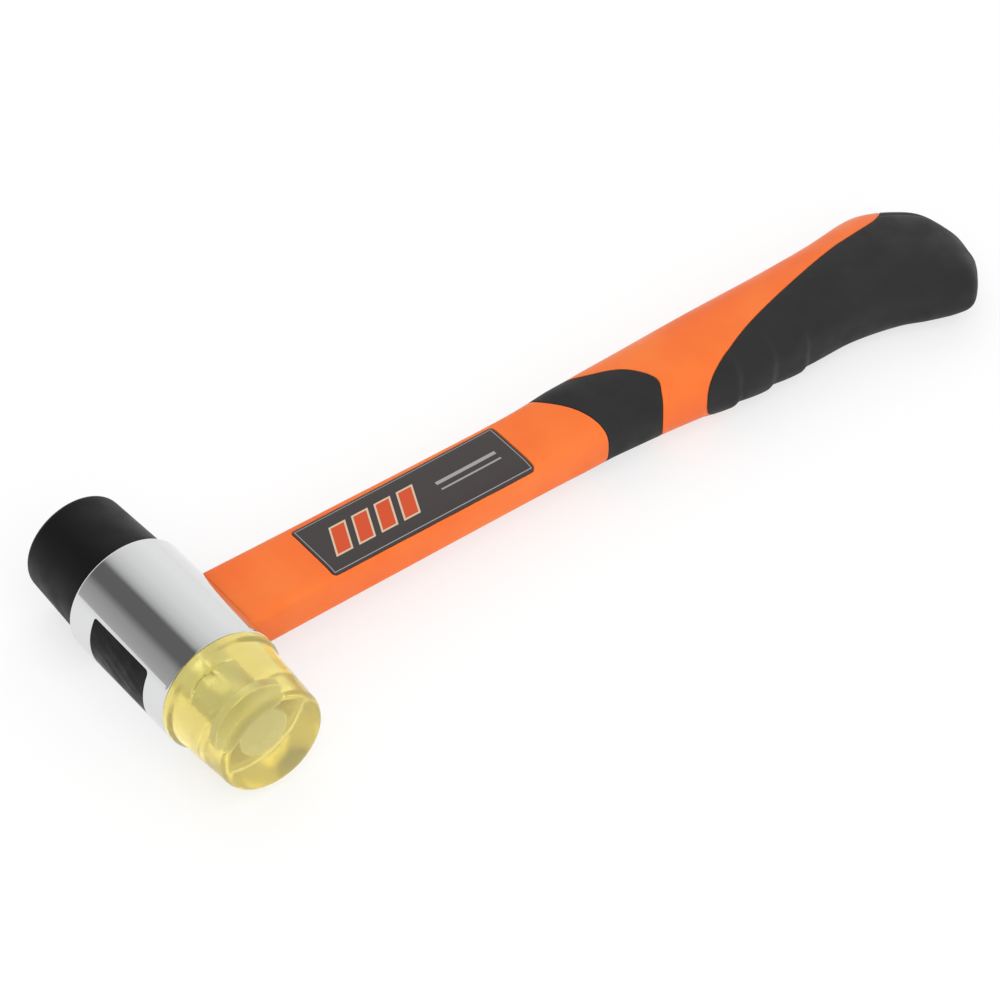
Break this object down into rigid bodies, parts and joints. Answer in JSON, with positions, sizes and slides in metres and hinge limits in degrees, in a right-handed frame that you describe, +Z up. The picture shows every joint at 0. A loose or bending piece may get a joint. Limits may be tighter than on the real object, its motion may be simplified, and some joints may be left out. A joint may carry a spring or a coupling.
{
  "type": "soft-face mallet",
  "caption": "Soft-face mallet with a chromed barrel head, a clear plastic tip, a black rubber tip and an orange handle with soft black grips and a hooked butt.",
  "frame": {"origin": "on the surface that the mallet lies on, under the middle of its bounding box", "axes": "+X from the head along the handle towards the butt, +Y along the head axis from the clear tip to the rubber tip, +Z up from the surface that the mallet lies on, on its side"},
  "size_m": [0.294, 0.0952, 0.037],
  "materials": {
    "chrome": "polished chrome plate",
    "resin": "cast black bonding resin, slightly rough",
    "fibreglass": "pultruded glass-fibre rod",
    "orange_plastic": "moulded, semi-gloss",
    "soft_grip": "soft-touch overmould, fine matte texture",
    "label_film": "satin film",
    "stud_steel": "zinc-plated",
    "clear_plastic": "clear, polished",
    "tip_rubber": "moulded rubber, satin"
  },
  "bodies": {
    "mallet": {"head_barrel": "chrome", "eye_plug": "resin", "handle_core": "fibreglass", "handle_jacket": "orange_plastic", "front_band": "soft_grip", "rear_grip": "soft_grip", "label_plate": "label_film"},
    "clear_stud": {"clear_tip_stud": "stud_steel"},
    "clear_face": {"clear_tip": "clear_plastic"},
    "rubber_stud": {"rubber_tip_stud": "stud_steel"},
    "rubber_face": {"rubber_tip": "tip_rubber"}
  },
  "joints": [
    {"name": "clear_stud_travel", "type": "slide", "parent": "mallet", "child": "clear_stud", "axis": [0, -1, 0], "range_m": [0, 0.0075]},
    {"name": "clear_tip_turn", "type": "hinge", "parent": "clear_stud", "child": "clear_face", "pos_m": [-0.12846, -0.02245, 0.0185], "axis": [0, -1, 0], "range_deg": [0, 1800]},
    {"name": "rubber_stud_travel", "type": "slide", "parent": "mallet", "child": "rubber_stud", "axis": [0, 1, 0], "range_m": [0, 0.0075]},
    {"name": "rubber_tip_turn", "type": "hinge", "parent": "rubber_stud", "child": "rubber_face", "pos_m": [-0.12846, 0.02245, 0.0185], "axis": [0, 1, 0], "range_deg": [0, 1800]}
  ],
  "couplings": [
    {"joint": "clear_stud_travel", "follows": "clear_tip_turn", "m_per_rad": 0.00023873},
    {"joint": "rubber_stud_travel", "follows": "rubber_tip_turn", "m_per_rad": 0.00023873}
  ]
}
